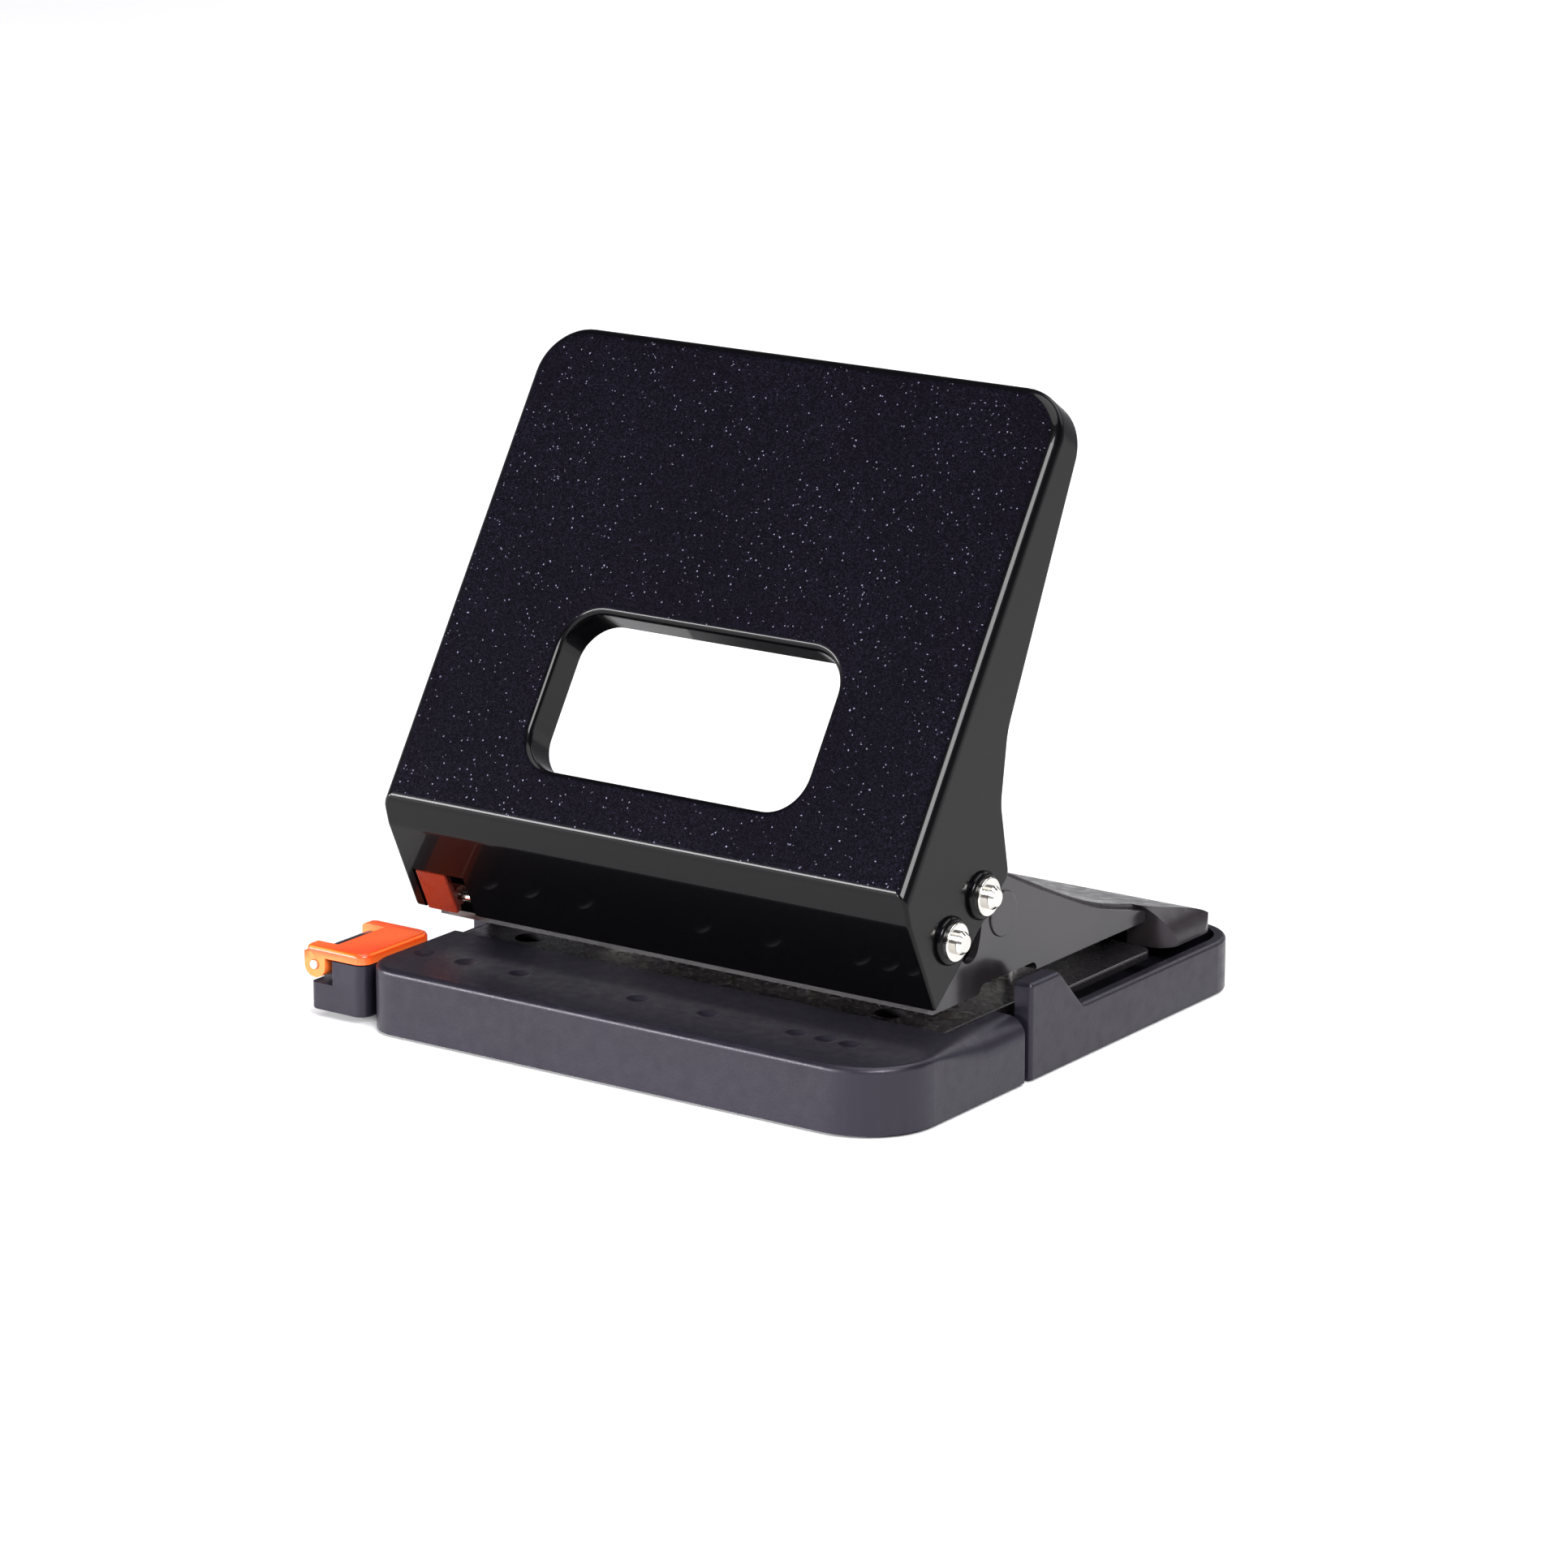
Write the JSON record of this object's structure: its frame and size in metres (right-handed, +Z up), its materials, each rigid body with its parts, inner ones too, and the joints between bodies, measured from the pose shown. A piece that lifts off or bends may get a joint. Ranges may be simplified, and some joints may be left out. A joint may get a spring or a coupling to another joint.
{
  "type": "two-hole paper punch",
  "caption": "Compact desk paper punch with a wide folded steel lever, sprung cutters, a pull-out paper guide with a flip latch, and a bend-down chip tray.",
  "frame": {"origin": "on the table under the centre of the punch's outline, guide pushed in and lever up", "axes": "+X to the user's right along the lever's width, +Y from the front edge to the back, +Z up"},
  "size_m": [0.1298, 0.118, 0.1196],
  "materials": {
    "base_plastic": "matte fine texture",
    "cover_plastic": "satin",
    "guide_plastic": "satin",
    "orange_plastic": "gloss",
    "lever_paint": "metallic gloss paint",
    "black_enamel": "gloss",
    "zinc_steel": "zinc plated",
    "bright_steel": "nickel plated",
    "tool_steel": "ground",
    "rubber": "matte"
  },
  "bodies": {
    "frame": {"front_shelf": "base_plastic", "die_plate": "black_enamel", "shelf_screws": "bright_steel", "throat_spacer": "zinc_steel", "frame_rivets": "bright_steel", "upper_frame": "black_enamel", "guide_sleeves": "zinc_steel", "rear_cover": "cover_plastic", "living_hinge": "base_plastic", "guide_channel": "base_plastic", "front_feet": "rubber", "return_spring_left": "bright_steel", "return_spring_right": "bright_steel"},
    "tray": {"chip_tray": "base_plastic", "rear_feet": "rubber"},
    "lever": {"handle_shell": "lever_paint", "pivot_rivets": "bright_steel", "pivot_washers": "bright_steel", "press_rod": "bright_steel", "press_washers": "bright_steel", "lock_pin": "bright_steel"},
    "lock": {"lock_slider": "orange_plastic"},
    "punch_left": {"punch_pin_left": "tool_steel", "punch_head_left": "zinc_steel"},
    "punch_right": {"punch_pin_right": "tool_steel", "punch_head_right": "zinc_steel"},
    "guide": {"guide_ruler": "guide_plastic", "guide_block": "guide_plastic", "guide_hinge_pin": "bright_steel"},
    "latch": {"guide_latch": "orange_plastic"}
  },
  "joints": [
    {"name": "lever_pivot", "type": "hinge", "parent": "frame", "child": "lever", "pos_m": [0.00265, -0.0329, 0.0299], "axis": [-1, 0, 0], "range_deg": [0, 50], "stiffness_Nm_per_rad": 0.6, "springref_deg": -20.05},
    {"name": "punch_slide_left", "type": "slide", "parent": "frame", "child": "punch_left", "axis": [0, 0, -1], "range_m": [0, 0.0098], "deforming": ["return_spring_left"]},
    {"name": "punch_slide_right", "type": "slide", "parent": "frame", "child": "punch_right", "axis": [0, 0, -1], "range_m": [0, 0.0098], "deforming": ["return_spring_right"]},
    {"name": "guide_slide", "type": "slide", "parent": "frame", "child": "guide", "axis": [-1, 0, 0], "range_m": [0, 0.06]},
    {"name": "latch_flip", "type": "hinge", "parent": "guide", "child": "latch", "pos_m": [-0.06255, -0.047, 0.0102], "axis": [0, -1, 0], "range_deg": [0, 110]},
    {"name": "tray_bend", "type": "hinge", "parent": "frame", "child": "tray", "pos_m": [0.00265, -0.0152, 0.0015], "axis": [-1, 0, 0], "range_deg": [0, 35]},
    {"name": "lock_slide", "type": "slide", "parent": "lever", "child": "lock", "axis": [1, 0, 0], "range_m": [0, 0.004]}
  ],
  "couplings": [
    {"joint": "punch_slide_left", "follows": "lever_pivot", "m_per_rad": 0.011065},
    {"joint": "punch_slide_right", "follows": "lever_pivot", "m_per_rad": 0.011065}
  ]
}
